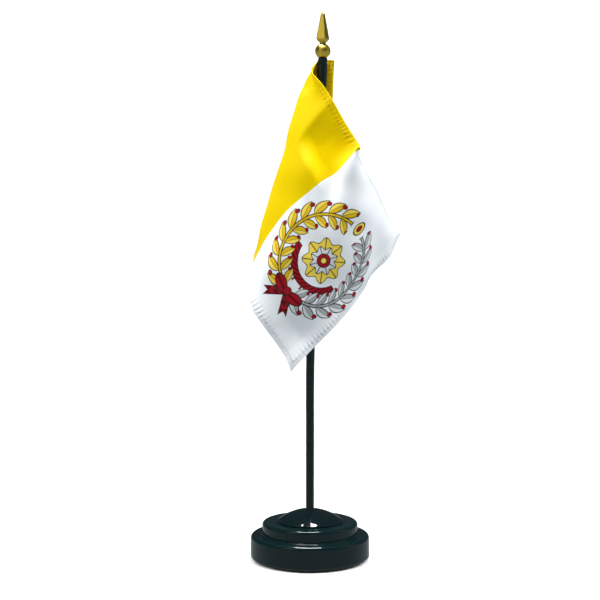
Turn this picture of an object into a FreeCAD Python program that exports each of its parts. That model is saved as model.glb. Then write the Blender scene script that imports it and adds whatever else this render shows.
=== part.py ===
"""Desk flag stand: a weighted two-tier base, a staff that lifts out of it, a spear finial and a small flag.

Millimetres, +Z up. The origin is the centre of the felt's resting face, and -Y is the front. Every function
returns one sub-part in its place, and the last lines write each to its own STEP file.
"""
import FreeCAD, Part
import math
import os

V = FreeCAD.Vector
UP = V(0, 0, 1)
CENTRE = V(0, 0, 0)

# Driving dimensions of the base
LOWER_D = 71.5
UPPER_D = 57.6
DOME_D = 39.2
SHELL_FOOT_Z = 1.8
LOWER_TOP_Z = 15.4
UPPER_TOP_Z = 23.0
DOME_TOP_Z = 30.5
WALL = 2.4
LOWER_EDGE_R = 2.2
UPPER_EDGE_R = 2.0
FOOT_EDGE_R = 0.8
STEP_FILLET_R = 0.8
DOME_RIM_R = 0.5
DOME_WALL = 2.6

# Inside the base, from the table up
FELT_D = 56.0
FELT_T = 1.8
LID_T = 1.8
LID_GAP = 0.05
BALLAST_D = 62.0
BALLAST_T = 6.0
BALLAST_BORE_D = 12.0
SCREW_COUNT = 3
SCREW_CIRCLE_R = 22.0
SCREW_D = 2.9
SCREW_HEAD_D = 5.6
SCREW_HEAD_T = 1.6
SCREW_TIP_Z = 13.2
SCREW_TIP_H = 1.2
SCREW_TIP_R = 0.3
SCREW_SLOT_W = 0.8
SCREW_SLOT_L = 3.4
SCREW_SLOT_DEEP = 0.8
SCREW_HOLE_GAP = 0.6
BOSS_D = 7.0
STEM_D = 10.0
STEM_FIT = 0.05
SLEEVE_D = 8.0
SLEEVE_RUNNING_FIT = 0.04
SLEEVE_TOP_Z = 24.8
SLEEVE_FLOOR_T = 1.6
PUSH_NUT_D = 17.0
PUSH_NUT_T = 0.7
PUSH_NUT_TEETH = 6
PUSH_NUT_SLOT_L = 2.4
PUSH_NUT_SLOT_W = 0.8

# Staff: upright in the base, then a long gentle bend and a straight lean to the right
STAFF_FOOT_D = 5.0
STAFF_HEAD_D = 6.0
STAFF_NECK_D = 5.4
STAFF_NECK_H = 3.0
STAFF_SHOULDER_H = 0.6
STAFF_FOOT_CHAMFER = 0.5
STAFF_BORE_FIT = 0.05
STAFF_MOUTH_D = 5.4
STAFF_HEAD_Z = 299.6
BEND_START_Z = 100.0
BEND_END_Z = 150.0
BEND_RINGS = 5
LEAN = 0.0425
PEG_D = 3.0
PEG_H = 4.0

# Finial: a ball with a four-sided spear point above it
BALL_D = 9.1
BALL_CENTRE_Z = 303.7
SPEAR_NECK_D = 3.6
SPEAR_FOOT_Z = 309.0
SPEAR_WIDE_Z = 310.8
SPEAR_SHOULDER_Z = 325.5
SPEAR_TIP_Z = 326.3
SPEAR_FOOT_CORNER_R = 2.9
SPEAR_WIDE_CORNER_R = 4.4
SPEAR_SHOULDER_CORNER_R = 1.35
SPEAR_TIP_CORNER_R = 0.6
SPEAR_EDGE_SHARE = 0.16
SPEAR_TURN_DEG = 20.0

# Flag: a 4 x 6 inch cloth glued along its hoist to the back of the staff
FLAG_HOIST = 103.5
FLAG_TOP_Z = 298.8
CLOTH_T = 0.5
CLOTH_Y = 3.45
HOIST_EDGE = 7.0
GLUE_W = 2.8

SHELL_INNER_R = LOWER_D / 2 - WALL
LID_TOP_Z = FELT_T + LID_T
BALLAST_TOP_Z = LID_TOP_Z + BALLAST_T
FOOT_Z = LID_TOP_Z + 0.1 + SLEEVE_FLOOR_T


def cylinder(diameter, low_z, high_z, centre=CENTRE):
    return Part.makeCylinder(diameter / 2, high_z - low_z, centre + V(0, 0, low_z), UP)


def turned(edges):
    """A solid of revolution about the vertical axis from a closed profile in the XZ plane."""
    return Part.Face(Part.Wire(edges)).revolve(CENTRE, UP, 360)


def line(a, b):
    return Part.LineSegment(V(a[0], 0, a[1]), V(b[0], 0, b[1])).toShape()


def quarter(centre, radius, start_deg, end_deg):
    """An arc in the XZ plane, angles counted from +X towards +Z."""
    points = []
    for degrees in (start_deg, (start_deg + end_deg) / 2, end_deg):
        angle = math.radians(degrees)
        points.append(V(centre[0] + radius * math.cos(angle), 0, centre[1] + radius * math.sin(angle)))
    return Part.Arc(*points).toShape()


def screw_places():
    places = []
    for number in range(SCREW_COUNT):
        angle = 2 * math.pi * number / SCREW_COUNT + math.pi / 2
        places.append(V(SCREW_CIRCLE_R * math.cos(angle), SCREW_CIRCLE_R * math.sin(angle), 0))
    return places


def base_shell():
    """The black two-tier moulding, open underneath, with three screw bosses under its shoulder."""
    lower_r = LOWER_D / 2
    upper_r = UPPER_D / 2
    bore_r = STEM_D / 2 + STEM_FIT
    inner_upper_r = upper_r - WALL
    shoulder_z = LOWER_TOP_Z - WALL
    ceiling_z = UPPER_TOP_Z - WALL
    step_r = upper_r + STEP_FILLET_R
    profile = [
        line((SHELL_INNER_R, SHELL_FOOT_Z), (lower_r - FOOT_EDGE_R, SHELL_FOOT_Z)),
        quarter((lower_r - FOOT_EDGE_R, SHELL_FOOT_Z + FOOT_EDGE_R), FOOT_EDGE_R, -90, 0),
        line((lower_r, SHELL_FOOT_Z + FOOT_EDGE_R), (lower_r, LOWER_TOP_Z - LOWER_EDGE_R)),
        quarter((lower_r - LOWER_EDGE_R, LOWER_TOP_Z - LOWER_EDGE_R), LOWER_EDGE_R, 0, 90),
        line((lower_r - LOWER_EDGE_R, LOWER_TOP_Z), (step_r, LOWER_TOP_Z)),
        quarter((step_r, LOWER_TOP_Z + STEP_FILLET_R), STEP_FILLET_R, 270, 180),
        line((upper_r, LOWER_TOP_Z + STEP_FILLET_R), (upper_r, UPPER_TOP_Z - UPPER_EDGE_R)),
        quarter((upper_r - UPPER_EDGE_R, UPPER_TOP_Z - UPPER_EDGE_R), UPPER_EDGE_R, 0, 90),
        line((upper_r - UPPER_EDGE_R, UPPER_TOP_Z), (bore_r, UPPER_TOP_Z)),
        line((bore_r, UPPER_TOP_Z), (bore_r, ceiling_z)),
        line((bore_r, ceiling_z), (inner_upper_r, ceiling_z)),
        line((inner_upper_r, ceiling_z), (inner_upper_r, shoulder_z)),
        line((inner_upper_r, shoulder_z), (SHELL_INNER_R, shoulder_z)),
        line((SHELL_INNER_R, shoulder_z), (SHELL_INNER_R, SHELL_FOOT_Z)),
    ]
    shell = turned(profile)
    for place in screw_places():
        shell = shell.fuse(cylinder(BOSS_D, BALLAST_TOP_Z, ceiling_z + WALL / 2, place))
    for place in screw_places():
        shell = shell.cut(cylinder(SCREW_D + 2 * STEM_FIT, BALLAST_TOP_Z - 1, SCREW_TIP_Z + 0.4, place))
    return shell.removeSplitter()


def dome_boss():
    """The domed boss in the middle of the base, with a stem that reaches down to the lid."""
    rim_r = DOME_D / 2
    height = DOME_TOP_Z - UPPER_TOP_Z - DOME_RIM_R
    sphere_r = (rim_r**2 + height**2) / (2 * height)
    sphere_z = DOME_TOP_Z - sphere_r
    outside = Part.makeSphere(sphere_r, V(0, 0, sphere_z))
    outside = outside.common(cylinder(DOME_D + 2, UPPER_TOP_Z + DOME_RIM_R, DOME_TOP_Z + 1))
    rim = turned([
        line((1, UPPER_TOP_Z), (rim_r, UPPER_TOP_Z)),
        quarter((rim_r, UPPER_TOP_Z + DOME_RIM_R), DOME_RIM_R, -90, 90),
        line((rim_r, UPPER_TOP_Z + 2 * DOME_RIM_R), (1, UPPER_TOP_Z + 2 * DOME_RIM_R)),
        line((1, UPPER_TOP_Z + 2 * DOME_RIM_R), (1, UPPER_TOP_Z)),
    ])
    hollow = Part.makeSphere(sphere_r - DOME_WALL, V(0, 0, sphere_z))
    hollow = hollow.common(cylinder(DOME_D, UPPER_TOP_Z - 1, DOME_TOP_Z))
    stem = cylinder(STEM_D, LID_TOP_Z + 0.1, DOME_TOP_Z - DOME_WALL)
    dome = outside.fuse(rim).cut(hollow).fuse(stem)
    sleeve_bore = cylinder(SLEEVE_D + 2 * SLEEVE_RUNNING_FIT, LID_TOP_Z - 1, SLEEVE_TOP_Z + 0.1)
    mouth = cylinder(STAFF_MOUTH_D, SLEEVE_TOP_Z, DOME_TOP_Z + 1)
    return dome.cut(sleeve_bore).cut(mouth).removeSplitter()


def stem_push_nut():
    """The spring-steel push nut that grips the stem under the shell's ceiling, with slotted teeth."""
    top_z = UPPER_TOP_Z - WALL
    nut = cylinder(PUSH_NUT_D, top_z - PUSH_NUT_T, top_z)
    nut = nut.cut(cylinder(STEM_D + 2 * STEM_FIT, top_z - 2, top_z + 1))
    for number in range(PUSH_NUT_TEETH):
        corner = V(STEM_D / 2 - STEM_FIT, -PUSH_NUT_SLOT_W / 2, top_z - 2 * PUSH_NUT_T)
        slot = Part.makeBox(PUSH_NUT_SLOT_L, PUSH_NUT_SLOT_W, 3 * PUSH_NUT_T, corner)
        slot.rotate(CENTRE, UP, 360 * number / PUSH_NUT_TEETH)
        nut = nut.cut(slot)
    return nut


def grip_sleeve():
    """The soft plastic cup that lines the stem and grips the staff's foot."""
    sleeve = cylinder(SLEEVE_D, LID_TOP_Z + 0.1, SLEEVE_TOP_Z)
    return sleeve.cut(cylinder(STAFF_FOOT_D + 2 * STAFF_BORE_FIT, FOOT_Z, SLEEVE_TOP_Z + 1))


def ballast_disc():
    """The steel disc that weights the base."""
    disc = cylinder(BALLAST_D, LID_TOP_Z, BALLAST_TOP_Z)
    disc = disc.cut(cylinder(BALLAST_BORE_D, LID_TOP_Z - 1, BALLAST_TOP_Z + 1))
    for place in screw_places():
        disc = disc.cut(cylinder(SCREW_D + SCREW_HOLE_GAP, LID_TOP_Z - 1, BALLAST_TOP_Z + 1, place))
    rims = [edge for edge in disc.Edges if edge.BoundBox.XLength > BALLAST_D - 0.1]
    return disc.makeChamfer(0.6, rims)


def base_lid():
    """The flat lid that closes the shell under the ballast, countersunk for the screws."""
    lid = cylinder(2 * (SHELL_INNER_R - LID_GAP), FELT_T, LID_TOP_Z)
    for place in screw_places():
        lid = lid.cut(cylinder(SCREW_HEAD_D + 0.4, FELT_T - 1, FELT_T + SCREW_HEAD_T, place))
        lid = lid.cut(cylinder(SCREW_D + SCREW_HOLE_GAP, FELT_T, LID_TOP_Z + 1, place))
    return lid


def base_screws():
    """Three self-tapping screws through lid and ballast into the shell's bosses."""
    screws = []
    for place in screw_places():
        head = cylinder(SCREW_HEAD_D, FELT_T, FELT_T + SCREW_HEAD_T, place)
        shank = cylinder(SCREW_D, FELT_T + SCREW_HEAD_T, SCREW_TIP_Z - SCREW_TIP_H, place)
        tip_foot = place + V(0, 0, SCREW_TIP_Z - SCREW_TIP_H)
        tip = Part.makeCone(SCREW_D / 2, SCREW_TIP_R, SCREW_TIP_H, tip_foot, UP)
        screw = head.fuse(shank).fuse(tip)
        for turn in (0, 90):
            corner = V(-SCREW_SLOT_L / 2, -SCREW_SLOT_W / 2, FELT_T)
            arm = Part.makeBox(SCREW_SLOT_L, SCREW_SLOT_W, SCREW_SLOT_DEEP, corner)
            arm.rotate(CENTRE, UP, turn)
            arm.translate(place)
            screw = screw.cut(arm)
        screws.append(screw)
    return Part.makeCompound(screws)


def felt_pad():
    """The felt disc under the lid, which the stand rests on."""
    return cylinder(FELT_D, 0, FELT_T)


def staff_x(z):
    """How far the staff's centre line lies to the right of upright at a height."""
    if z < BEND_START_Z:
        return 0.0
    if z < BEND_END_Z:
        return LEAN * (z - BEND_START_Z) ** 2 / (2 * (BEND_END_Z - BEND_START_Z))
    return LEAN * (z - (BEND_START_Z + BEND_END_Z) / 2)


def staff_radius(z):
    """The staff grows evenly from the bend's foot up to its head."""
    share = max(0.0, (z - BEND_START_Z) / (STAFF_HEAD_Z - BEND_START_Z))
    return (STAFF_FOOT_D + share * (STAFF_HEAD_D - STAFF_FOOT_D)) / 2


def ring(z, radius):
    return Part.Wire(Part.Circle(V(staff_x(z), 0, z), UP, radius).toShape())


def staff():
    """The black staff, upright in its socket, with a peg on its head for the finial."""
    foot = cylinder(STAFF_FOOT_D, FOOT_Z, BEND_START_Z)
    foot_rim = [edge for edge in foot.Edges if edge.BoundBox.ZMax < FOOT_Z + 0.01]
    foot = foot.makeChamfer(STAFF_FOOT_CHAMFER, foot_rim)
    bend_step = (BEND_END_Z - BEND_START_Z) / BEND_RINGS
    heights = [BEND_START_Z + bend_step * number for number in range(BEND_RINGS + 1)]
    bend = Part.makeLoft([ring(z, staff_radius(z)) for z in heights], True)
    neck_z = STAFF_HEAD_Z - STAFF_NECK_H
    shoulder_z = neck_z - STAFF_SHOULDER_H
    neck_r = STAFF_NECK_D / 2
    rings = [
        ring(BEND_END_Z, staff_radius(BEND_END_Z)), ring(shoulder_z, staff_radius(shoulder_z)),
        ring(neck_z, neck_r), ring(STAFF_HEAD_Z, neck_r),
    ]
    straight = Part.makeLoft(rings, True, True)
    peg = cylinder(PEG_D, STAFF_HEAD_Z, STAFF_HEAD_Z + PEG_H, V(staff_x(STAFF_HEAD_Z), 0, 0))
    return foot.fuse([bend, straight, peg]).removeSplitter()


def square_ring(z, corner_r):
    """A square with rounded corners, corner_r from the finial's axis before rounding, one corner to the front."""
    rounding = SPEAR_EDGE_SHARE * corner_r
    reach = corner_r - rounding * math.sqrt(2)
    arcs = []
    for number in range(4):
        points = []
        for turn in (-45, 0, 45):
            towards = math.radians(90 * number - 90 + SPEAR_TURN_DEG)
            around = towards + math.radians(turn)
            x = reach * math.cos(towards) + rounding * math.cos(around)
            y = reach * math.sin(towards) + rounding * math.sin(around)
            points.append(V(x, y, z))
        arcs.append(points)
    edges = []
    for number, points in enumerate(arcs):
        edges.append(Part.Arc(*points).toShape())
        edges.append(Part.LineSegment(points[-1], arcs[(number + 1) % 4][0]).toShape())
    return Part.Wire(edges)


def spear_finial():
    """The gold point: a ball that seats on the staff's peg, a short neck and a four-sided spear."""
    ball = Part.makeSphere(BALL_D / 2, V(0, 0, BALL_CENTRE_Z))
    ball = ball.common(cylinder(BALL_D + 1, STAFF_HEAD_Z, BALL_CENTRE_Z + BALL_D))
    neck = cylinder(SPEAR_NECK_D, BALL_CENTRE_Z + 2, SPEAR_FOOT_Z + 0.4)
    levels = (
        (SPEAR_FOOT_Z, SPEAR_FOOT_CORNER_R), (SPEAR_WIDE_Z, SPEAR_WIDE_CORNER_R),
        (SPEAR_SHOULDER_Z, SPEAR_SHOULDER_CORNER_R), (SPEAR_TIP_Z, SPEAR_TIP_CORNER_R),
    )
    blade = Part.makeLoft([square_ring(z, corner_r) for z, corner_r in levels], True, True)
    finial = ball.fuse([neck, blade])
    finial = finial.cut(cylinder(PEG_D, STAFF_HEAD_Z - 1, STAFF_HEAD_Z + PEG_H + 0.2))
    finial.translate(V(staff_x(STAFF_HEAD_Z), 0, 0))
    return finial.removeSplitter()


# Free edges and middle of the draped cloth, from behind the staff round the fold on the left to the fly
TOP_EDGE = [
    (3.0, 3.3, 297.5), (-0.8, -0.5, 294.0), (5.0, -9.0, 285.0), (13.0, -13.5, 275.0), (21.0, -16.0, 262.0),
    (26.5, -20.0, 250.0), (32.0, -25.0, 238.0), (39.0, -21.0, 223.0), (45.0, -9.0, 211.0), (50.5, 1.0, 202.5),
    (54.0, 12.0, 194.5),
]
MIDDLE = [
    (1.0, 4.2, 249.0), (-4.0, 8.0, 248.0), (-12.0, 9.5, 247.0), (-17.0, 1.0, 241.5), (-17.0, -12.0, 231.0),
    (-12.5, -20.0, 220.5), (-5.0, -22.5, 207.5), (3.5, -18.0, 193.0), (13.0, -18.0, 178.5), (21.5, -16.0, 166.0),
    (28.0, -6.0, 155.0),
]
BOTTOM_EDGE = [
    (-1.0, 4.2, 197.0), (-5.0, 9.0, 197.0), (-9.0, 18.0, 197.0), (-17.0, 23.0, 195.5), (-28.0, 17.5, 190.0),
    (-33.5, 6.0, 181.0), (-36.5, -7.0, 172.0), (-36.0, -20.0, 162.0), (-29.0, -23.0, 147.0), (-20.5, -20.0, 134.5),
    (-10.5, -17.0, 119.0),
]
HOIST_STEPS = (HOIST_EDGE, HOIST_EDGE - 3.8, 0.0)


def cloth_row(top_z, free_points):
    """One row of the cloth: level from the hoist edge to the staff's back, then through the free points."""
    row = [V(staff_x(top_z) + step, CLOTH_Y, top_z) for step in HOIST_STEPS]
    return row + [V(*point) for point in free_points]


def flag_cloth():
    """The draped flag as a thin closed solid through three rows of points."""
    rows = [
        cloth_row(FLAG_TOP_Z, TOP_EDGE),
        cloth_row(FLAG_TOP_Z - FLAG_HOIST / 2, MIDDLE),
        cloth_row(FLAG_TOP_Z - FLAG_HOIST, BOTTOM_EDGE),
    ]
    surface = Part.BSplineSurface()
    surface.interpolate(rows)
    return surface.toShape().makeOffsetShape(CLOTH_T, 0.01, fill=True)


def hoist_glue(staff_solid):
    """The bead of glue along the back of the staff that holds the hoist."""
    low_z = FLAG_TOP_Z - FLAG_HOIST + 2
    high_z = FLAG_TOP_Z - 2
    ends = []
    for z in (low_z, high_z):
        x = staff_x(z)
        ends.append(Part.makePolygon([
            V(x - GLUE_W / 2, 1.0, z), V(x + GLUE_W / 2, 1.0, z),
            V(x + GLUE_W / 2, CLOTH_Y - 0.02, z), V(x - GLUE_W / 2, CLOTH_Y - 0.02, z), V(x - GLUE_W / 2, 1.0, z),
        ]))
    return Part.makeLoft(ends, True, True).cut(staff_solid)


staff_solid = staff()
PARTS = {
    "felt_pad": felt_pad(),
    "base_lid": base_lid(),
    "ballast_disc": ballast_disc(),
    "base_screws": base_screws(),
    "base_shell": base_shell(),
    "dome_boss": dome_boss(),
    "stem_push_nut": stem_push_nut(),
    "grip_sleeve": grip_sleeve(),
    "staff": staff_solid,
    "spear_finial": spear_finial(),
    "hoist_glue": hoist_glue(staff_solid),
    "flag_cloth": flag_cloth(),
}

os.makedirs("parts", exist_ok=True)
for name, shape in PARTS.items():
    shape.exportStep("parts/" + name + ".step")
    print(name, "solids", len(shape.Solids), "valid", shape.isValid(), "volume", round(shape.Volume, 1))
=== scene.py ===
"""Looks of the desk flag stand: glossy black base and staff, gold finial, and a printed satin flag
draped by a cloth solver. Lengths are metres unless a name or a comment says millimetres (mm)."""
import math
import bpy
import numpy as np
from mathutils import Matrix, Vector


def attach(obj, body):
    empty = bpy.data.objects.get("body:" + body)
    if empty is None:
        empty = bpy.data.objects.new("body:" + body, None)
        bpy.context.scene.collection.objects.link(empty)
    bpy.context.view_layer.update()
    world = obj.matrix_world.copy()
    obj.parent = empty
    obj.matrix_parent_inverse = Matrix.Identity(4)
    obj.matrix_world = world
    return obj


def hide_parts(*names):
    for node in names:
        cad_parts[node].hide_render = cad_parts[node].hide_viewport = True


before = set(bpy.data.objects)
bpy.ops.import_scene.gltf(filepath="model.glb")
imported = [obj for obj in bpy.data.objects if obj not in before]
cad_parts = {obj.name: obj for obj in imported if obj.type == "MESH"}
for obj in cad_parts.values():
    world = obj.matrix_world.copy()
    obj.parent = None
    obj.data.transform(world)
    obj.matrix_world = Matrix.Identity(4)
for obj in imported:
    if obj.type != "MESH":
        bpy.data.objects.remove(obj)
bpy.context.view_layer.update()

MM = 0.001

# The flag as cut, and where its hoist is fixed. Its two colours meet a little past the middle of the fly.
FLY = 153.0 * MM
HOIST = 105.0 * MM
SEAM = FLY / 2 + 2.5 * MM
HOIST_EDGE = 7.0 * MM
STRIP_END = 8.5 * MM
CLOTH_GAP = 0.45 * MM

# The camera, in front of the stand and a little above the cloth's middle
CAMERA_PLACE = np.array([0.0, -0.85, 0.217])
CAMERA_AIM = (-0.0060, 0.0, 0.1566)
LENS_MM = 85.68


# ---------------------------------------------------------------- shader helpers

class Field:
    """A number that varies over a surface, used in sums like any other number."""

    def __init__(self, shader, socket):
        self.shader = shader
        self.socket = socket

    def __add__(self, other):
        return self.shader.math("ADD", self, other)

    def __sub__(self, other):
        return self.shader.math("SUBTRACT", self, other)

    def __rsub__(self, other):
        return self.shader.math("SUBTRACT", other, self)

    def __mul__(self, other):
        return self.shader.math("MULTIPLY", self, other)

    def __truediv__(self, other):
        return self.shader.math("DIVIDE", self, other)

    def __abs__(self):
        return self.shader.math("ABSOLUTE", self)

    __radd__ = __add__
    __rmul__ = __mul__


class Shader:
    """A material whose Principled surface is fed by a few procedural nodes."""

    def __init__(self, name, **surface_values):
        self.material = bpy.data.materials.new(name)
        self.material.use_nodes = True
        self.tree = self.material.node_tree
        self.surface = self.tree.nodes["Principled BSDF"]
        for socket, value in surface_values.items():
            self.set(socket.replace("_", " "), value)

    def put(self, socket, value):
        if isinstance(value, Field):
            value = value.socket
        if isinstance(value, bpy.types.NodeSocket):
            self.tree.links.new(value, socket)
        elif isinstance(value, tuple) and len(value) == 3 and socket.type == "RGBA":
            socket.default_value = (*value, 1.0)
        else:
            socket.default_value = value

    def set(self, socket, value):
        self.put(self.surface.inputs[socket], value)

    def node(self, kind, **settings):
        node = self.tree.nodes.new(kind)
        for name, value in settings.items():
            setattr(node, name, value)
        return node

    def math(self, operation, *values):
        node = self.node("ShaderNodeMath", operation=operation)
        for socket, value in zip(node.inputs, values):
            self.put(socket, value)
        return Field(self, node.outputs[0])

    def root(self, value):
        return self.math("SQRT", value)

    def least(self, first, *others):
        for other in others:
            first = self.math("MINIMUM", first, other)
        return first

    def ramp(self, value, low, high, to_low=0.0, to_high=1.0):
        """A smooth step from low to high."""
        node = self.node("ShaderNodeMapRange", interpolation_type="SMOOTHSTEP")
        for socket, number in zip(node.inputs, (value, low, high, to_low, to_high)):
            self.put(socket, number)
        return Field(self, node.outputs[0])

    def mix(self, share, first, second):
        node = self.node("ShaderNodeMix", data_type="RGBA")
        self.put(node.inputs[0], share)
        self.put(node.inputs[6], first)
        self.put(node.inputs[7], second)
        return node.outputs[2]

    def place(self, stretch=(1.0, 1.0, 1.0)):
        """The point's place in the object, in metres, stretched."""
        node = self.node("ShaderNodeMapping")
        self.put(node.inputs["Vector"], self.node("ShaderNodeTexCoord").outputs["Object"])
        self.put(node.inputs["Scale"], stretch)
        return node.outputs[0]

    def noise(self, size, detail=3.0, place=None, roughness=0.5):
        """Noise whose features are about size metres across."""
        node = self.node("ShaderNodeTexNoise")
        self.put(node.inputs["Vector"], place or self.place())
        self.put(node.inputs["Scale"], 1.0 / size)
        self.put(node.inputs["Detail"], detail)
        self.put(node.inputs["Roughness"], roughness)
        return Field(self, node.outputs["Fac"])

    def bump(self, height, depth, after=None):
        """Bump whose height input is 0 to 1 for a relief depth metres deep."""
        node = self.node("ShaderNodeBump")
        self.put(node.inputs["Distance"], depth)
        self.put(node.inputs["Height"], height)
        if after:
            self.put(node.inputs["Normal"], after)
        return node.outputs[0]


def paint(node_name, material):
    """Gives every material slot of a CAD node this material."""
    for number in range(len(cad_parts[node_name].material_slots)):
        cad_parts[node_name].material_slots[number].material = material


# ---------------------------------------------------------------- materials of the stand

def moulded_black(name, dark, light, roughness, peel):
    """Polished black moulding: uneven gloss, faint orange peel, hairline scratches and a little dust."""
    shader = Shader(name, Specular_IOR_Level=0.35)
    cloud = shader.noise(12 * MM, 4)
    dust = 0.25 * shader.ramp(shader.noise(0.35 * MM, 2), 0.70, 0.78)
    body = shader.mix(cloud, dark, light)
    shader.set("Base Color", shader.mix(dust, body, (0.02, 0.024, 0.024)))
    scratch = shader.noise(1.2 * MM, 2, shader.place((0.08, 1.0, 1.0)))
    scratch = shader.ramp(scratch, 0.66, 0.72, 0.0, 0.12)
    smudge = shader.ramp(shader.noise(9 * MM, 5), 0.45, 0.75, roughness, roughness + 0.04)
    shader.set("Roughness", smudge + scratch)
    fine = shader.bump(shader.noise(1.6 * MM, 2), peel)
    shader.set("Normal", shader.bump(shader.noise(0.25 * MM, 1), peel * 0.25, fine))
    return shader.material


def rod_black():
    """The staff's black: drawn lengthwise, with faint streaks and a satin gloss."""
    shader = Shader("staff_black", Specular_IOR_Level=0.32)
    streak = shader.noise(0.5 * MM, 3, shader.place((1.0, 1.0, 0.03)))
    shader.set("Base Color", shader.mix(streak, (0.0040, 0.0100, 0.0100), (0.0070, 0.0145, 0.0145)))
    shader.set("Roughness", shader.ramp(streak, 0.3, 0.7, 0.22, 0.34))
    long_wave = shader.bump(streak, 0.03 * MM)
    shader.set("Normal", shader.bump(shader.noise(0.3 * MM, 2), 0.008 * MM, long_wave))
    return shader.material


def plated_gold():
    """Bright plating with slight mottling, soft tarnish in patches and fine pits."""
    shader = Shader("plated_gold", Metallic=1.0)
    mottle = shader.noise(2.5 * MM, 4)
    bright = shader.mix(mottle, (0.70, 0.50, 0.055), (0.82, 0.61, 0.10))
    tarnish = shader.ramp(shader.noise(1.1 * MM, 5), 0.58, 0.74, 0.0, 0.45)
    shader.set("Base Color", shader.mix(tarnish, bright, (0.42, 0.25, 0.05)))
    shader.set("Roughness", shader.ramp(mottle, 0.3, 0.7, 0.27, 0.36))
    pits = shader.bump(shader.noise(0.30 * MM, 3), 0.010 * MM)
    shader.set("Normal", shader.bump(shader.noise(2.0 * MM, 2), 0.05 * MM, pits))
    return shader.material


def pressed_felt():
    """Dark green felt: matted fibres with a soft nap."""
    shader = Shader("felt", Roughness=0.95, Sheen_Weight=0.5, Sheen_Roughness=0.6)
    fibre = shader.noise(0.18 * MM, 6, shader.place((1.0, 0.35, 1.0)), 0.7)
    cross = shader.noise(0.22 * MM, 5, shader.place((0.35, 1.0, 1.0)), 0.7)
    mat = fibre * cross
    green = shader.mix(shader.ramp(mat, 0.12, 0.4), (0.006, 0.022, 0.014), (0.03, 0.075, 0.05))
    shader.set("Base Color", green)
    shader.set("Normal", shader.bump(mat, 0.35 * MM))
    return shader.material


def matt_lid():
    """Matt black sheet with a fine spark-eroded grain."""
    shader = Shader("lid_black", Specular_IOR_Level=0.4)
    grain = shader.noise(0.22 * MM, 4)
    shader.set("Base Color", shader.mix(grain, (0.012, 0.012, 0.013), (0.026, 0.026, 0.027)))
    shader.set("Roughness", shader.ramp(grain, 0.3, 0.7, 0.55, 0.75))
    shader.set("Normal", shader.bump(grain, 0.04 * MM))
    return shader.material


def steel(name, dark, light, low_roughness, grain_size):
    """Bare or plated steel with turned rings, oily patches and specks of rust in the recesses."""
    shader = Shader(name, Metallic=1.0)
    patch = shader.noise(5 * MM, 4)
    grain = shader.noise(grain_size, 4, shader.place((1.0, 1.0, 0.2)))
    rust = shader.ramp(shader.noise(1.5 * MM, 6), 0.68, 0.80, 0.0, 0.6)
    shader.set("Base Color", shader.mix(rust, shader.mix(patch, dark, light), (0.16, 0.07, 0.03)))
    shader.set("Roughness", shader.ramp(patch, 0.3, 0.7, low_roughness, low_roughness + 0.18))
    shader.set("Normal", shader.bump(grain, 0.02 * MM))
    return shader.material


def soft_rubber():
    """Matt elastomer with a faint bloom."""
    shader = Shader("sleeve_rubber", Specular_IOR_Level=0.3)
    bloom = shader.noise(3 * MM, 4)
    shader.set("Base Color", shader.mix(bloom, (0.012, 0.012, 0.012), (0.035, 0.034, 0.032)))
    shader.set("Roughness", shader.ramp(bloom, 0.3, 0.7, 0.6, 0.85))
    shader.set("Normal", shader.bump(shader.noise(0.4 * MM, 3), 0.02 * MM))
    return shader.material


def set_glue():
    """Clear glue gone slightly yellow, with small bubbles."""
    shader = Shader("set_glue", Transmission_Weight=0.6, IOR=1.48)
    bubble = shader.ramp(shader.noise(0.5 * MM, 2), 0.6, 0.7)
    shader.set("Base Color", shader.mix(bubble, (0.80, 0.74, 0.55), (0.90, 0.88, 0.78)))
    shader.set("Roughness", shader.ramp(bubble, 0.0, 1.0, 0.15, 0.35))
    shader.set("Normal", shader.bump(shader.noise(0.9 * MM, 2), 0.10 * MM))
    return shader.material


# ---------------------------------------------------------------- the draped cloth

# Outlines of the hanging cloth as seen from the camera, in mm in the upright plane through the base's axis:
# (to the right, up). The solver slides the cloth's edges on to them along the lines of sight. The fly and bottom
# lines meet 3 mm below the cloth's tip, because the cloth holds back from that corner.
TOP_LINE = [
    (4.6, 295.4), (2.6, 295.4), (0.7, 294.6), (-0.6, 292.4), (1.2, 290.0), (5.2, 286.8), (9.9, 281.5),
    (14.5, 275.0), (20.5, 265.0),
    (29.5, 250.0), (32.0, 239.5), (38.5, 227.5), (44.0, 215.0), (48.0, 205.5), (53.0, 196.0),
]
FLY_LINE = [
    (53.0, 196.0), (49.0, 183.5), (44.0, 177.0), (36.0, 171.0), (34.5, 164.0), (26.0, 152.0), (10.0, 135.0),
    (-3.0, 121.0), (-12.5, 110.5),
]
BOTTOM_LINE = [
    (-37.5, 168.0), (-37.5, 159.0), (-34.0, 149.0), (-25.0, 136.0), (-16.5, 125.5), (-13.5, 116.5),
    (-12.5, 110.5),
]
FOLD_LINE = [
    (-0.6, 292.4), (-1.6, 289.5), (-5.4, 280.9), (-8.6, 273.6), (-11.0, 262.0), (-16.0, 241.0),
    (-23.5, 220.5), (-29.0, 199.5), (-33.0, 184.5), (-37.5, 168.0),
]
SEAM_LINE = [
    (28.2, 249.5), (17.5, 237.0), (4.0, 225.0), (-10.5, 212.5), (-20.5, 201.5), (-28.0, 190.0),
    (-33.0, 181.0), (-35.2, 172.0),
]

# Points of the top edge in the curl beside the staff: (from the hoist, to the right, up)
CURL_POINTS = [(13.0, 4.2, 295.4), (19.5, -0.9, 292.4), (23.5, 1.2, 289.8)]

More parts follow.
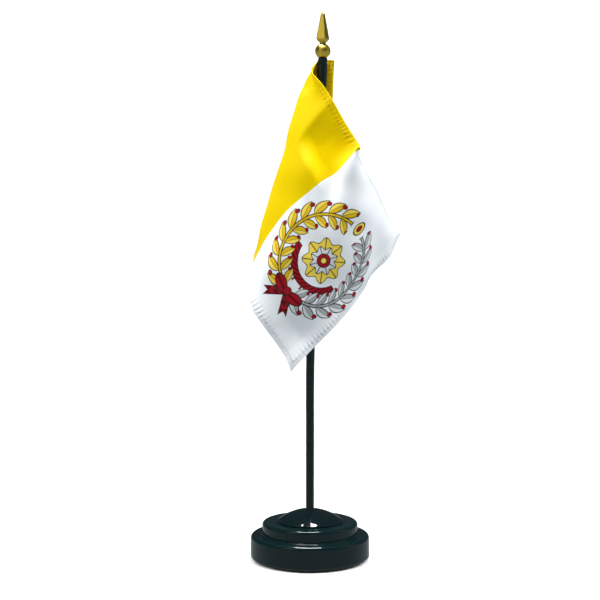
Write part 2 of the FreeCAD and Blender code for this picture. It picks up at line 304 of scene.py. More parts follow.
# Where the cloth starts before it is solved: its top edge, middle and bottom edge in mm,
# from the hoist strip on
START_TOP = [
    (3.0, 3.3, 297.5), (-0.8, -0.5, 294.0), (5.0, -9.0, 285.0), (13.0, -13.5, 275.0), (21.0, -16.0, 262.0),
    (26.5, -20.0, 250.0), (32.0, -25.0, 238.0), (39.0, -21.0, 223.0), (45.0, -9.0, 211.0), (50.5, 1.0, 202.5),
    (54.0, 12.0, 194.5),
]
START_MIDDLE = [
    (1.0, 4.2, 249.0), (-4.0, 8.0, 248.0), (-12.0, 9.5, 247.0), (-17.0, 1.0, 241.5), (-17.0, -12.0, 231.0),
    (-12.5, -20.0, 220.5), (-5.0, -22.5, 207.5), (3.5, -18.0, 193.0), (13.0, -18.0, 178.5),
    (21.5, -16.0, 166.0), (28.0, -6.0, 155.0),
]
START_BOTTOM = [
    (-1.0, 4.2, 197.0), (-5.0, 9.0, 197.0), (-9.0, 18.0, 197.0), (-17.0, 23.0, 195.5), (-28.0, 17.5, 190.0),
    (-33.5, 6.0, 181.0), (-36.5, -7.0, 172.0), (-36.0, -20.0, 162.0), (-29.0, -23.0, 147.0),
    (-20.5, -20.0, 134.5), (-10.5, -17.0, 119.0),
]
FLAG_TOP = 298.8 * MM

# Where the top edge begins to follow its outline, and how much harder corners and curl are pulled than edges
CURL_START = 10.5 * MM
CORNER_PULL = 12
CURL_PULL = 3

BEND_START = 100.0 * MM
BEND_END = 150.0 * MM
LEAN = 0.0425
STAFF_R_HEAD = 3.0 * MM


def staff_x(z):
    """How far the staff's centre line lies to the right of upright at each height, as in the CAD model."""
    bend = LEAN * (z - BEND_START) ** 2 / (2 * (BEND_END - BEND_START))
    straight = LEAN * (z - (BEND_START + BEND_END) / 2)
    return np.where(z < BEND_START, 0.0, np.where(z < BEND_END, bend, straight))


def dense_line(points, count=240):
    """Evenly spaced points along an outline given in mm."""
    points = np.array(points) * MM
    run = np.append(0.0, np.cumsum(np.hypot(*np.diff(points, axis=0).T)))
    even = np.linspace(0.0, run[-1], count)
    return np.stack([np.interp(even, run, points[:, axis]) for axis in (0, 1)], 1)


def start_row(top, free_points):
    """One row of the starting shape: level behind the staff, then through the free points."""
    centre = float(staff_x(np.array(top)))
    back = STAFF_R_HEAD + CLOTH_GAP
    strip = [(centre + HOIST_EDGE, back, top), (centre, back, top)]
    return np.array(strip + [tuple(np.array(point) * MM) for point in free_points])


def start_shape(across, up):
    """The starting surface: across points from hoist to fly, up points from the bottom edge to the top."""
    rows = [
        start_row(FLAG_TOP - HOIST, START_BOTTOM),
        start_row(FLAG_TOP - HOIST / 2, START_MIDDLE),
        start_row(FLAG_TOP, START_TOP),
    ]
    even = np.linspace(0.0, 1.0, across)
    lines = []
    for row in rows:
        run = np.append(0.0, np.cumsum(np.linalg.norm(np.diff(row, axis=0), axis=1)))
        lines.append(np.stack([np.interp(even, run / run[-1], row[:, axis]) for axis in range(3)], 1))
    t = np.linspace(0.0, 1.0, up)[None, :, None]
    bottom, middle, top = [line[:, None, :] for line in lines]
    return bottom * 2 * (t - 0.5) * (t - 1) - middle * 4 * t * (t - 1) + top * 2 * t * (t - 0.5)


def resample(cloth, across, up):
    """The same surface with more points, by Catmull-Rom curves both ways."""
    for axis, count in ((0, across), (1, up)):
        cloth = np.moveaxis(cloth, axis, 0)
        last = len(cloth) - 1
        place = np.linspace(0.0, last, count)
        low = np.minimum(place.astype(int), last - 1)
        t = (place - low)[:, None, None]
        before, after = cloth[np.maximum(low - 1, 0)], cloth[np.minimum(low + 2, last)]
        first, second = cloth[low], cloth[low + 1]
        before = np.where((low == 0)[:, None, None], 2 * first - second, before)
        after = np.where((low == last - 1)[:, None, None], 2 * second - first, after)
        cloth = first + 0.5 * t * (
            second - before + t * (2 * before - 5 * first + 4 * second - after
                                   + t * (3 * (first - second) + after - before)))
        cloth = np.moveaxis(cloth, 0, axis)
    return cloth


def set_distance(cloth, free, first, second, length, strength=1.0):
    """Moves two equal sets of points to their distance in the flat cloth, shared by how free each is."""
    step = cloth[second] - cloth[first]
    now = np.sqrt((step * step).sum(-1, keepdims=True)) + 1e-12
    both = free[first] + free[second] + 1e-12
    shift = strength * (now - length) / now * step / both
    cloth[first] += free[first] * shift
    cloth[second] -= free[second] * shift


def seen(cloth):
    """Where each point is seen in the upright plane through the base's axis, from the camera."""
    distance = -CAMERA_PLACE[1]
    share = distance / (distance + cloth[..., 1])
    height = CAMERA_PLACE[2]
    return np.stack([cloth[..., 0] * share, height + (cloth[..., 2] - height) * share], -1)


def pull(cloth, index, goal, strength):
    """Moves points in their own upright plane so that they are seen nearer to the goal."""
    points = cloth[index].copy()
    distance = -CAMERA_PLACE[1]
    share = (distance + points[..., 1]) / distance
    height = CAMERA_PLACE[2]
    points[..., 0] += strength * (goal[..., 0] * share - points[..., 0])
    points[..., 2] += strength * (height + (goal[..., 1] - height) * share - points[..., 2])
    cloth[index] = points


def nearest(points, line):
    gap = ((points[:, None, :] - line[None]) ** 2).sum(-1)
    return line[gap.argmin(1)]


def solve(cloth, steps, hold, smooth):
    """Relaxes the cloth: it keeps its cut lengths, bends softly, stays off the staff and on its outlines."""
    across, up = cloth.shape[:2]
    fly_run = np.linspace(0.0, FLY, across)
    hoist_run = np.linspace(0.0, HOIST, up)
    cell_u, cell_v = FLY / (across - 1), HOIST / (up - 1)
    cell_d = math.hypot(cell_u, cell_v)
    free = np.ones((across, up, 1))
    back = STAFF_R_HEAD + CLOTH_GAP
    for number in np.flatnonzero(fly_run <= STRIP_END):
        z = FLAG_TOP - HOIST + hoist_run
        cloth[number] = np.stack([staff_x(z) + HOIST_EDGE - fly_run[number], np.full(up, back), z], 1)
        free[number] = 0.0
    seam = int(np.abs(fly_run - SEAM).argmin())
    rows = np.arange(up)
    after_strip = np.flatnonzero(fly_run > CURL_START)
    lower = np.flatnonzero(fly_run > SEAM)
    outlines = {
        "top": dense_line(TOP_LINE),
        "fly": dense_line(FLY_LINE),
        "bottom": dense_line(BOTTOM_LINE),
        "fold": dense_line(FOLD_LINE),
        "seam": dense_line(SEAM_LINE),
    }
    whole = slice(None)
    for _ in range(steps):
        for odd in (0, 1):
            pairs = (across - odd) // 2
            left = slice(odd, odd + 2 * pairs, 2)
            right = slice(odd + 1, odd + 1 + 2 * pairs, 2)
            set_distance(cloth, free, (left, whole), (right, whole), cell_u)
            set_distance(cloth, free, (left, slice(0, up - 1)), (right, slice(1, up)), cell_d, 0.5)
            set_distance(cloth, free, (left, slice(1, up)), (right, slice(0, up - 1)), cell_d, 0.5)
            pairs = (up - odd) // 2
            low = slice(odd, odd + 2 * pairs, 2)
            high = slice(odd + 1, odd + 1 + 2 * pairs, 2)
            set_distance(cloth, free, (whole, low), (whole, high), cell_v)
        curve = np.zeros_like(cloth)
        curve[1:-1] += (cloth[2:] + cloth[:-2]) / 2 - cloth[1:-1]
        curve[:, 1:-1] += (cloth[:, 2:] + cloth[:, :-2]) / 2 - cloth[:, 1:-1]
        ripple = np.zeros_like(cloth)
        ripple[1:-1] += (curve[2:] + curve[:-2]) / 2 - curve[1:-1]
        ripple[:, 1:-1] += (curve[:, 2:] + curve[:, :-2]) / 2 - curve[:, 1:-1]
        cloth -= smooth * ripple * free
        view = seen(cloth)
        pull(cloth, (after_strip, -1), nearest(view[after_strip, -1], outlines["top"]), hold)
        pull(cloth, (-1, rows), nearest(view[-1], outlines["fly"]), hold)
        pull(cloth, (lower, 0), nearest(view[lower, 0], outlines["bottom"]), hold)
        pull(cloth, (seam, rows), nearest(view[seam], outlines["seam"]), hold)
        for column, row, goal in (
            (-1, -1, outlines["fly"][0]), (-1, 0, outlines["fly"][-1]),
            (seam, -1, outlines["seam"][0]), (seam, 0, outlines["seam"][-1]),
        ):
            pull(cloth, (column, row), goal, min(1.0, CORNER_PULL * hold))
        for run, right, up_to in CURL_POINTS:
            column = int(np.abs(fly_run - run * MM).argmin())
            pull(cloth, (column, -1), np.array([right, up_to]) * MM, min(1.0, CURL_PULL * hold))
        leftmost = (0.28 * view[..., 1] - 0.96 * view[..., 0])[:seam + 1].argmax(0)
        pull(cloth, (leftmost, rows), nearest(view[leftmost, rows], outlines["fold"]), hold)
        off_x = cloth[..., 0] - staff_x(cloth[..., 2])
        off_y = cloth[..., 1]
        radius = np.hypot(off_x, off_y) + 1e-12
        push = np.where(radius < back, (back - radius) / radius, 0.0) * free[..., 0]
        cloth[..., 0] += off_x * push
        cloth[..., 1] += off_y * push
    return cloth


def drape():
    """The solved cloth, coarse first and then on a finer grid."""
    cloth = solve(start_shape(39, 27), 900, 0.25, 0.15)
    cloth = solve(resample(cloth, 77, 52), 800, 0.10, 0.10)
    return solve(cloth, 500, 0.03, 0.06)


# ---------------------------------------------------------------- the flag's mesh

CELLS_U = 254
CELLS_V = 169
CLOTH_T = 0.20 * MM
HEM_T = 0.50 * MM
HEM_W = 4.2 * MM
PUCKER_PITCH = 2.4 * MM
PUCKER_DEPTH = 0.20 * MM
STITCH_INSET = 3.0 * MM
STITCH_STEP = 1.15 * MM
STITCH_SWING = 0.55 * MM
HOIST_STITCH_INSET = 1.9 * MM
HOIST_STITCH_STEP = 0.95 * MM
HOIST_STITCH_SWING = 1.25 * MM
THREAD_R = 0.13 * MM


def normals_of(cloth):
    along = np.gradient(cloth, axis=0)
    upward = np.gradient(cloth, axis=1)
    normal = np.cross(along, upward)
    return normal / (np.linalg.norm(normal, axis=-1, keepdims=True) + 1e-12)


def thickness(u, v):
    """The cloth's thickness: more where an edge is folded over and stitched."""
    inside = np.minimum(np.minimum(v, HOIST - v), np.minimum(FLY - u, u))
    return CLOTH_T + (HEM_T - CLOTH_T) * np.clip((HEM_W - inside) / (0.4 * MM), 0.0, 1.0)


def smooth_step(value, low, high):
    share = np.clip((value - low) / (high - low), 0.0, 1.0)
    return share * share * (3 - 2 * share)


def puckers(u, v):
    """The ripple that the stitching draws along all four hems."""
    rng = np.random.default_rng(7)
    lift = np.zeros_like(u)
    for inside, along in ((FLY - u, v), (v, u), (HOIST - v, u), (u, v)):
        phase = rng.uniform(0, 2 * math.pi)
        wander = 0.8 * np.sin(along / (17 * MM) + phase) + 0.5 * np.sin(along / (7.3 * MM) + 2 * phase)
        uneven = 0.75 + 0.35 * np.sin(along / (11 * MM) + 3 * phase)
        wave = np.sin(2 * math.pi * along / PUCKER_PITCH + wander)
        lift += PUCKER_DEPTH * uneven * wave * np.exp(-((inside - 2.8 * MM) / (2.4 * MM)) ** 2)
    return lift


# Heights of the folds that are added to the solved drape, in mm, and its faint ripples
RIDGE_FOLD_H = 6.2
AFTER_SEAM_H = 0.8
BEFORE_HEM_H = 2.0
ROLLED_HEM_H = 2.0
DIMPLE_H = 1.2
RIPPLES = 9
RIPPLE_SHARE = 0.004


def creases(u, v):
    """The folds and ripples added to the solved drape, as height over its surface."""
    x, y = u / MM, v / MM
    past_ridge = x - 50 + 0.26 * (y - 78)
    past_ridge_only = (past_ridge + np.hypot(past_ridge, 1.5)) / 2
    fold = smooth_step(past_ridge, 12, 42) + np.exp(-past_ridge_only / 5.5) - 1
    fold *= RIDGE_FOLD_H * smooth_step(y, 72, 84)
    after_seam = smooth_step(x, 88, 112) - smooth_step(x, 73, 86)
    after_seam *= AFTER_SEAM_H * smooth_step(y, 45, 75)
    before_hem = 0.5 * smooth_step(x, 143, 150) - smooth_step(x, 124, 141)
    before_hem *= BEFORE_HEM_H + 0.7 * np.cos((y - 12) / 38 * 2 * math.pi)
    before_hem *= 1 - 0.8 * smooth_step(y, 76, 94)
    rolled_hem = ROLLED_HEM_H * smooth_step(y, 16, 1) * smooth_step(x, 96, 120)
    dimple = -DIMPLE_H * np.exp(-((x - 24) / 4.5) ** 2 - ((y - 95) / 4.0) ** 2)
    rng = np.random.default_rng(11)
    ripple = np.zeros_like(x)
    for _ in range(RIPPLES):
        angle = rng.uniform(0, math.pi)
        length = rng.uniform(13, 34)
        phase = rng.uniform(0, 2 * math.pi)
        wave = x * math.cos(angle) + y * math.sin(angle) + 3.0 * np.sin((x - y) / 23 + phase)
        ripple += RIPPLE_SHARE * length * np.sin(2 * math.pi * wave / length + phase)
    free = smooth_step(x, 10, 22)
    return (fold + after_seam + before_hem + rolled_hem + dimple + ripple) * free * MM


def flag_surface(drape_points):
    """The fine middle surface with creases and puckers, its normals, and its places in the flat cloth."""
    cloth = resample(drape_points, CELLS_U + 1, CELLS_V + 1)
    u, v = np.meshgrid(np.linspace(0, FLY, CELLS_U + 1), np.linspace(0, HOIST, CELLS_V + 1), indexing="ij")
    cloth = cloth + normals_of(cloth) * creases(u, v)[..., None]
    cloth = cloth + normals_of(cloth) * puckers(u, v)[..., None]
    return cloth, normals_of(cloth), u, v


def flag_mesh(surface):
    """A closed cloth body: front and back skins, thicker where the hems are folded over."""
    cloth, normal, u, v = surface
    thick = thickness(u, v)
    front = cloth + normal * (CLOTH_T / 2)
    back = cloth - normal * (thick - CLOTH_T / 2)[..., None]
    across, up = u.shape
    count = across * up
    grid = np.arange(count).reshape(across, up)
    a, b, c, d = grid[:-1, :-1], grid[1:, :-1], grid[1:, 1:], grid[:-1, 1:]
    skin = np.stack([a, b, c, d], -1).reshape(-1, 4)
    faces = [skin, skin[:, ::-1] + count]
    for line in (grid[:, 0][::-1], grid[0], grid[:, -1], grid[-1][::-1]):
        faces.append(np.stack([line[:-1], line[1:], line[1:] + count, line[:-1] + count], 1))
    faces = np.concatenate(faces)
    points = np.concatenate([front.reshape(-1, 3), back.reshape(-1, 3)])
    mesh = bpy.data.meshes.new("flag_cloth_drape")
    mesh.from_pydata(points.tolist(), [], faces.tolist())
    flat = np.stack([u / FLY, v / HOIST], -1).reshape(-1, 2)
    set_flat_coordinates(mesh, np.concatenate([flat, flat]))
    return mesh


def on_surface(surface, u, v):
    """Places and normals of the middle surface at points of the flat cloth, bilinear between grid points."""
    place_u = np.clip(u / FLY * CELLS_U, 0, CELLS_U - 1e-6)
    place_v = np.clip(v / HOIST * CELLS_V, 0, CELLS_V - 1e-6)
    i, j = place_u.astype(int), place_v.astype(int)
    s, t = (place_u - i)[:, None], (place_v - j)[:, None]
    found = []
    for field in surface[:2]:
        low = field[i, j] * (1 - s) + field[i + 1, j] * s
        high = field[i, j + 1] * (1 - s) + field[i + 1, j + 1] * s
        found.append(low * (1 - t) + high * t)
    return found


def stitch_line(start, end, step, swing):
    """A zigzag between two points of the flat cloth, dipping to the cloth at each needle hole."""
    start, end = np.array(start), np.array(end)
    length = np.linalg.norm(end - start)
    along = (end - start) / length
    across = np.array([-along[1], along[0]])
    holes = int(length / step)
    count = holes * 3
    run = np.arange(count + 1) / 3
    side = np.abs((run % 2) - 1) * 2 - 1
    hump = np.sin(run * math.pi) ** 2
    points = start + np.outer(run * length / holes, along) + np.outer(side * swing, across)
    return points, hump


def stitch_mesh(surface):
    """The hems' zigzag stitching, a line of thread on both faces of the cloth."""
    low, high, fly, hoist = STITCH_INSET, HOIST - STITCH_INSET, FLY - STITCH_INSET, HOIST_STITCH_INSET
    lines = [
        ((STITCH_INSET, low), (fly, low), STITCH_STEP, STITCH_SWING),
        ((fly, low), (fly, high), STITCH_STEP, STITCH_SWING),
        ((fly, high), (STITCH_INSET, high), STITCH_STEP, STITCH_SWING),
        ((hoist, high), (hoist, low), HOIST_STITCH_STEP, HOIST_STITCH_SWING),
    ]
    points, faces, flats = [], [], []
    sides = 5
    for line in lines:
        flat, hump = stitch_line(*line)
        place, normal = on_surface(surface, flat[:, 0], flat[:, 1])
        thick = thickness(flat[:, 0], flat[:, 1])
        for face_side in (1, -1):
            level = np.full(len(hump), CLOTH_T / 2) if face_side > 0 else thick - CLOTH_T / 2
            level = (level + THREAD_R * (0.2 + 0.8 * hump)) * face_side
            core = place + normal * level[:, None]
            forward = np.gradient(core, axis=0)
            forward /= np.linalg.norm(forward, axis=1, keepdims=True)
            sideways = np.cross(forward, normal)
            first = len(points)
            for step in range(len(core)):
                for corner in range(sides):
                    angle = 2 * math.pi * corner / sides
                    ring = math.cos(angle) * normal[step] + math.sin(angle) * sideways[step]
                    points.append(core[step] + THREAD_R * ring)
                    flats.append(flat[step])
            for step in range(len(core) - 1):
                for corner in range(sides):
                    here = first + step * sides
                    beside = (corner + 1) % sides
                    faces.append((here + corner, here + beside, here + sides + beside, here + sides + corner))
            last = first + (len(core) - 1) * sides
            faces.append(tuple(range(first + sides - 1, first - 1, -1)))
            faces.append(tuple(range(last, last + sides)))
    mesh = bpy.data.meshes.new("hem_stitches")
    mesh.from_pydata([tuple(point) for point in points], [], faces)
    set_flat_coordinates(mesh, np.array(flats) / (FLY, HOIST))
    return mesh


def set_flat_coordinates(mesh, flat):
    """Stores each point's place in the flat cloth, and shades the mesh smooth."""
    layer = mesh.uv_layers.new(name="cut")
    corner = np.zeros(len(mesh.loops), np.int32)
    mesh.loops.foreach_get("vertex_index", corner)
    layer.data.foreach_set("uv", flat[corner].astype(np.float32).ravel())
    mesh.polygons.foreach_set("use_smooth", np.ones(len(mesh.polygons), bool))
    mesh.update()


def add_piece(name, mesh, body, material):
    piece = bpy.data.objects.new(name, mesh)
    bpy.context.scene.collection.objects.link(piece)
    mesh.materials.append(material)
    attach(piece, body)
    return piece


# ---------------------------------------------------------------- the flag's print

GOLD_INK = (0.78, 0.50, 0.02)
PALE_GOLD_INK = (0.92, 0.70, 0.10)
GREY_INK = (0.42, 0.44, 0.46)
PALE_GREY_INK = (0.72, 0.74, 0.76)
RED_INK = (0.38, 0.012, 0.022)
DARK_RED_INK = (0.16, 0.004, 0.010)
DARK_INK = (0.030, 0.022, 0.020)

# The printed wreath, in mm
PRINT_U = (SEAM + FLY) / 2 / MM
PRINT_V = 50.0
PRINT_SCALE = 1.1
PRINT_SOFT = 0.16
OUTLINE = 0.50
WREATH_R = 24.0
LEAF_PITCH = 7.4
LEAF_L = 4.9
LEAF_W = 2.15
LEAF_OUT = 3.8
LEAF_TILT = math.radians(42)


def flat_coordinates(shader):
    """The point's place in the flat cloth in mm: from the hoist, and up from the bottom edge."""
    node = shader.node("ShaderNodeUVMap", uv_map="cut")
    parts = shader.node("ShaderNodeSeparateXYZ")
    shader.put(parts.inputs[0], node.outputs[0])
    return Field(shader, parts.outputs[0]) * (FLY / MM), Field(shader, parts.outputs[1]) * (HOIST / MM)


def lay(shader, ground, inside, fill, outline=OUTLINE):
    """Prints a shape over the ground: inside is how many mm a point lies within its outline's middle."""
    dark = shader.ramp(inside, -outline / 2 - PRINT_SOFT, -outline / 2 + PRINT_SOFT)
    full = shader.ramp(inside, outline / 2 - PRINT_SOFT, outline / 2 + PRINT_SOFT)
    return shader.mix(full, shader.mix(dark, ground, DARK_INK), fill)


def ornament(shader, ground, x, y):
    """A wreath of gold and silver leaves with red berries, round a rosette, tied with a red ribbon."""
    x = (x - PRINT_U) / PRINT_SCALE
    y = (y - PRINT_V) / PRINT_SCALE
    side = abs(x)
    radius = shader.root(x * x + y * y)
    turn = shader.math("ARCTAN2", y, x)
    from_foot = shader.math("ARCTAN2", side, 0.0 - y)
    run = from_foot * WREATH_R
    out = abs(radius - WREATH_R)

    # ribbon tails under the wreath, with notched ends
    along = side * 0.62 - (y + WREATH_R) * 0.78
    across = abs(side * 0.78 + (y + WREATH_R) * 0.62)
    ends = shader.least(along - 0.5, 11.0 - along + across)
    fold = shader.ramp(shader.math("SINE", along * 1.5 + across), -0.2, 0.6)
    red = shader.mix(fold, DARK_RED_INK, RED_INK)
    ground = lay(shader, ground, shader.least(2.1 - across, ends), red)

    # a twisted swag of ribbon under the rosette, from leaf to leaf
    swag = shader.least(1.7 - abs(radius - 16.0), -4.5 - y)
    twist_with_groove_shade = shader.ramp(shader.math("SINE", turn * 34.0 + radius * 2.6), -0.3, 0.3)
    ground = lay(shader, ground, swag, shader.mix(twist_with_groove_shade, DARK_RED_INK, RED_INK))

    # the two branches, gold on one side and silver on the other
    half = shader.ramp(x, -PRINT_SOFT, PRINT_SOFT)
    deep = shader.mix(half, GOLD_INK, GREY_INK)
    pale = shader.mix(half, PALE_GOLD_INK, PALE_GREY_INK)
    whole = shader.least(run - 0.5 * LEAF_PITCH, 9.5 * LEAF_PITCH - run)
    ground = lay(shader, ground, shader.least(0.75 - out, whole), deep)
    cell = shader.math("WRAP", run, LEAF_PITCH / 2, -LEAF_PITCH / 2)
    off = out - LEAF_OUT
    along = cell * math.cos(LEAF_TILT) + off * math.sin(LEAF_TILT)
    across = off * math.cos(LEAF_TILT) - cell * math.sin(LEAF_TILT)
    leaf = LEAF_W - along * along * (LEAF_W / LEAF_L ** 2) - abs(across)
    vein = 0.5 * shader.ramp(abs(across), 0.30, 0.12)
    blade = shader.mix(vein, shader.mix(shader.ramp(across, -0.1, 0.1), deep, pale), DARK_INK)
    ground = lay(shader, ground, shader.least(leaf, whole), blade)
    cell = shader.math("WRAP", run + LEAF_PITCH / 2, LEAF_PITCH / 2, -LEAF_PITCH / 2)
    off = out - 5.5
    berry = 1.05 - shader.root(cell * cell + off * off)
    ground = lay(shader, ground, shader.least(berry, whole), RED_INK, 0.35)

    # the rosette: eight gold petals, a ring of pale ones, and a red eye with a gold centre
    petal = shader.math("COSINE", turn * 8.0)
    rib = radius * abs(shader.math("SINE", turn * 4.0)) * 0.25
    gold = shader.mix(shader.ramp(rib, 0.35, 0.15), PALE_GOLD_INK, DARK_INK)
    ground = lay(shader, ground, 10.6 + petal * 1.3 - radius, gold)
    rib = radius * abs(shader.math("COSINE", turn * 4.0)) * 0.25
    grey = shader.mix(shader.ramp(rib, 0.30, 0.12), PALE_GREY_INK, DARK_INK)
    ground = lay(shader, ground, 6.6 - petal * 0.9 - radius, grey)
    ground = lay(shader, ground, 3.5 - radius, RED_INK)
    ground = lay(shader, ground, 1.6 - radius, PALE_GOLD_INK)

    # the bow: two loops with a fold in each, and the knot
    along = (side - 5.4) * 0.94 + (y + WREATH_R + 0.6) * 0.34
    across = (y + WREATH_R + 0.6) * 0.94 - (side - 5.4) * 0.34
    loop = 1.0 - shader.root(along * along * (1 / 5.0 ** 2) + across * across * (1 / 2.9 ** 2))
    fold = shader.ramp(abs(across + along * 0.15), 0.3, 0.9)
    ground = lay(shader, ground, loop * 2.9, shader.mix(fold, DARK_RED_INK, RED_INK))
    lift = y + WREATH_R + 0.6
    knot = 2.1 - shader.root(side * side + lift * lift)
    ground = lay(shader, ground, knot, RED_INK)

    # a bud where the branches meet
    lift = (y - WREATH_R - 1.2) * 0.62
    bud = 2.5 - shader.root(x * x + lift * lift)
    ground = lay(shader, ground, bud, PALE_GOLD_INK)
    return lay(shader, ground, bud - 1.3, RED_INK, 0.35)


def weave(shader, x, y):
    """Satin weave, 0 to 1: long floats over fine crossing threads."""
    warp = shader.math("SINE", x * (2 * math.pi / 0.36))
    weft = shader.math("SINE", (y + x * 0.5) * (2 * math.pi / 0.42))
    return (warp + weft) * 0.25 + 0.5


def cloth_material():
    """Printed satin: ink bleeds a little along the threads, and both dyes are faintly uneven."""
    shader = Shader("flag_satin", Sheen_Weight=0.02, Sheen_Roughness=0.4, Specular_IOR_Level=0.05)
    x, y = flat_coordinates(shader)
    bleed = (shader.noise(0.7 * MM, 2) - 0.5) * 0.35
    cloud = shader.noise(14 * MM, 3)
    white_half = shader.ramp(x + bleed, SEAM / MM - 0.15, SEAM / MM + 0.15)
    yellow = shader.mix(cloud, (0.80, 0.56, 0.0), (0.82, 0.60, 0.0))
    white = shader.mix(cloud, (0.86, 0.89, 0.93), (0.91, 0.93, 0.96))
    colour = ornament(shader, shader.mix(white_half, yellow, white), x + bleed, y + bleed)
    threads = weave(shader, x, y)
    shader.set("Base Color", colour)
    shader.set("Roughness", shader.ramp(threads, 0.0, 1.0, 0.64, 0.5))
    shader.set("Normal", shader.bump(threads, 0.035 * MM))
    return shader.material


def thread_material():
    """Sewing thread dyed like the cloth that it runs on, with a slight twist to it and painted shade darkening
    the twist's grooves.
    """
    shader = Shader("hem_thread", Specular_IOR_Level=0.3, Sheen_Weight=0.1)
    x, y = flat_coordinates(shader)
    white_half = shader.ramp(x, SEAM / MM - 0.2, SEAM / MM + 0.2)
    twist_with_groove_shade = shader.ramp(shader.math("SINE", (x + y) * (2 * math.pi / 0.45)), -1.0, 1.0)
    # The darker end of each thread colour is painted shade in the grooves of the twist.
    yellow = shader.mix(twist_with_groove_shade, (0.80, 0.47, 0.0), (1.0, 0.70, 0.01))
    white = shader.mix(twist_with_groove_shade, (0.66, 0.69, 0.74), (0.88, 0.90, 0.94))
    shader.set("Base Color", shader.mix(white_half, yellow, white))
    shader.set("Roughness", shader.ramp(twist_with_groove_shade, 0.0, 1.0, 0.7, 0.5))
    shader.set("Normal", shader.bump(twist_with_groove_shade, 0.03 * MM))
    return shader.material


# ---------------------------------------------------------------- stage, light and camera

def stage_mesh(name, points, faces, material):
    mesh = bpy.data.meshes.new(name)
    mesh.from_pydata(points, [], faces)
    thing = bpy.data.objects.new(name, mesh)
    bpy.context.scene.collection.objects.link(thing)
    mesh.materials.append(material)
    return thing


def build_stage():
    """A pale floor, and behind it a pale backdrop that curves up from it and stays out of the reflections."""
    shader = Shader("pale_paper", Roughness=0.9, Specular_IOR_Level=0.1)
    tone = shader.noise(0.4, 2)
    shader.set("Base Color", shader.mix(tone, (0.90, 0.90, 0.90), (0.93, 0.93, 0.93)))
    half = 3.0
    front, bend, radius, top = -1.6, 0.9, 0.8, 3.0
    curve = [math.pi / 2 * number / 16 for number in range(17)]
    wall = [(bend + radius * math.sin(angle), radius * (1 - math.cos(angle))) for angle in curve]
    profiles = {
        "pale_floor": [(front, 0.0), (bend, 0.0)],
        "pale_backdrop": [*wall, (bend + radius, top)],
    }
    for name, profile in profiles.items():
        points = [(side, y, z) for y, z in profile for side in (-half, half)]
        faces = [(2 * n, 2 * n + 1, 2 * n + 3, 2 * n + 2) for n in range(len(profile) - 1)]
        thing = stage_mesh(name, points, faces, shader.material)
        thing.data.polygons.foreach_set("use_smooth", [True] * len(faces))
        thing.visible_glossy = False
        thing.visible_diffuse = False


def area_light(name, place, aim, size, radiance, glossy=True, diffuse=True):
    """A softbox of even radiance."""
    data = bpy.data.lights.new(name, "AREA")
    data.shape = "RECTANGLE"
    data.size, data.size_y = size
    data.energy = radiance * math.pi * size[0] * size[1]
    light = bpy.data.objects.new(name, data)
    bpy.context.scene.collection.objects.link(light)
    light.location = place
    light.rotation_euler = (Vector(aim) - Vector(place)).to_track_quat("-Z", "Y").to_euler()
    light.visible_glossy = glossy
    light.visible_diffuse = diffuse


# What polished surfaces mirror below and above the horizon
FLOOR_GLOW = 0.42
SKY_GLOW = 0.045


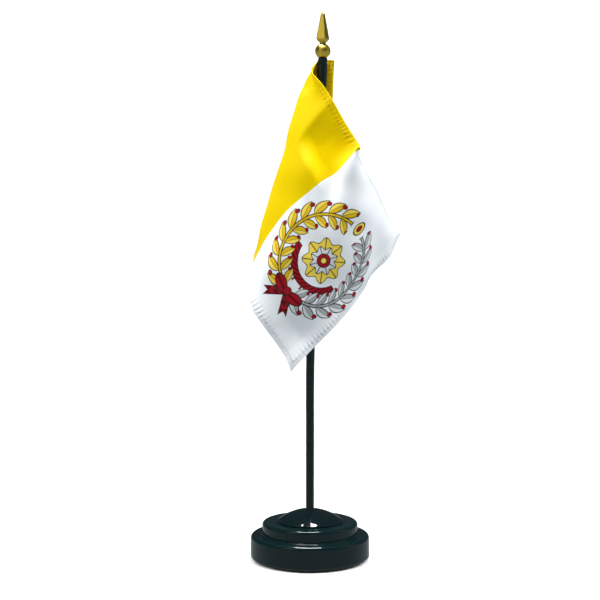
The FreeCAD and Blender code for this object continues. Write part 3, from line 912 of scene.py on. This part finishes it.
def build_lights():
    world = bpy.data.worlds.new("studio")
    bpy.context.scene.world = world
    world.use_nodes = True
    nodes, links = world.node_tree.nodes, world.node_tree.links
    direction = nodes.new("ShaderNodeTexCoord").outputs["Generated"]
    height = nodes.new("ShaderNodeSeparateXYZ")
    links.new(direction, height.inputs[0])
    level = nodes.new("ShaderNodeMapRange")
    links.new(height.outputs[2], level.inputs[0])
    for socket, value in zip(level.inputs[1:5], (-0.05, 0.05, FLOOR_GLOW, SKY_GLOW)):
        socket.default_value = value
    nodes["Background"].inputs[0].default_value = (0.84, 0.96, 1.0, 1.0)
    links.new(level.outputs[0], nodes["Background"].inputs[1])
    area_light("key_left", (-1.05, -0.50, 1.05), (0, 0, 0.2), (0.9, 0.7), 9.6, glossy=False)
    area_light("key_right", (1.10, -0.40, 1.15), (0, 0, 0.2), (0.9, 0.7), 12.3, glossy=False)
    area_light("back_wash", (0.0, 0.12, 1.9), (0, 0.9, 0.2), (2.4, 0.9), 8.0, glossy=False)
    area_light("gold_left", (-0.75, -0.80, 0.68), (0, 0, 0.3), (0.5, 0.5), 1.1, diffuse=False)
    area_light("gold_right", (1.0, 0.0, 0.55), (0, 0, 0.3), (0.5, 0.9), 0.3, diffuse=False)
    area_light("glint", (-0.03, 0.05, 1.1), (-0.03, 0.05, 0.0), (0.46, 0.18), 190.0, diffuse=False)


def build_camera():
    data = bpy.data.cameras.new("camera")
    data.lens = LENS_MM
    data.sensor_width = 36.0
    data.clip_start = 0.01
    camera = bpy.data.objects.new("camera", data)
    bpy.context.scene.collection.objects.link(camera)
    camera.location = CAMERA_PLACE
    camera.rotation_euler = (Vector(CAMERA_AIM) - Vector(CAMERA_PLACE)).to_track_quat("-Z", "Y").to_euler()
    bpy.context.scene.camera = camera


# ---------------------------------------------------------------- putting it together

build_camera()
build_stage()
build_lights()
bpy.context.scene.view_settings.view_transform = "Standard"

shell_black = moulded_black(
    "shell_black", (0.0026, 0.0115, 0.0130), (0.0042, 0.0140, 0.0155), 0.10, 0.0015 * MM)
# The dome's black is the shell's black made darker: painted shade over the whole dome.
dome_shaded_black = moulded_black(
    "dome_shaded_black", (0.0026, 0.0080, 0.0095), (0.0042, 0.0105, 0.0120), 0.07, 0.002 * MM)
paint("base_shell", shell_black)
paint("dome_boss", dome_shaded_black)
paint("staff", rod_black())
paint("spear_finial", plated_gold())
paint("felt_pad", pressed_felt())
paint("base_lid", matt_lid())
paint("ballast_disc", steel("ballast_steel", (0.20, 0.19, 0.18), (0.34, 0.33, 0.31), 0.35, 0.5 * MM))
paint("base_screws", steel("zinc", (0.50, 0.51, 0.53), (0.62, 0.63, 0.65), 0.22, 0.3 * MM))
paint("stem_push_nut", steel("spring_steel", (0.16, 0.17, 0.20), (0.26, 0.27, 0.30), 0.28, 0.3 * MM))
paint("grip_sleeve", soft_rubber())
paint("hoist_glue", set_glue())

surface = flag_surface(drape())
flag = add_piece("flag", flag_mesh(surface), "flag_staff", cloth_material())
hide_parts("flag_cloth")
stitches = add_piece("hem_stitches", stitch_mesh(surface), "flag_staff", thread_material())
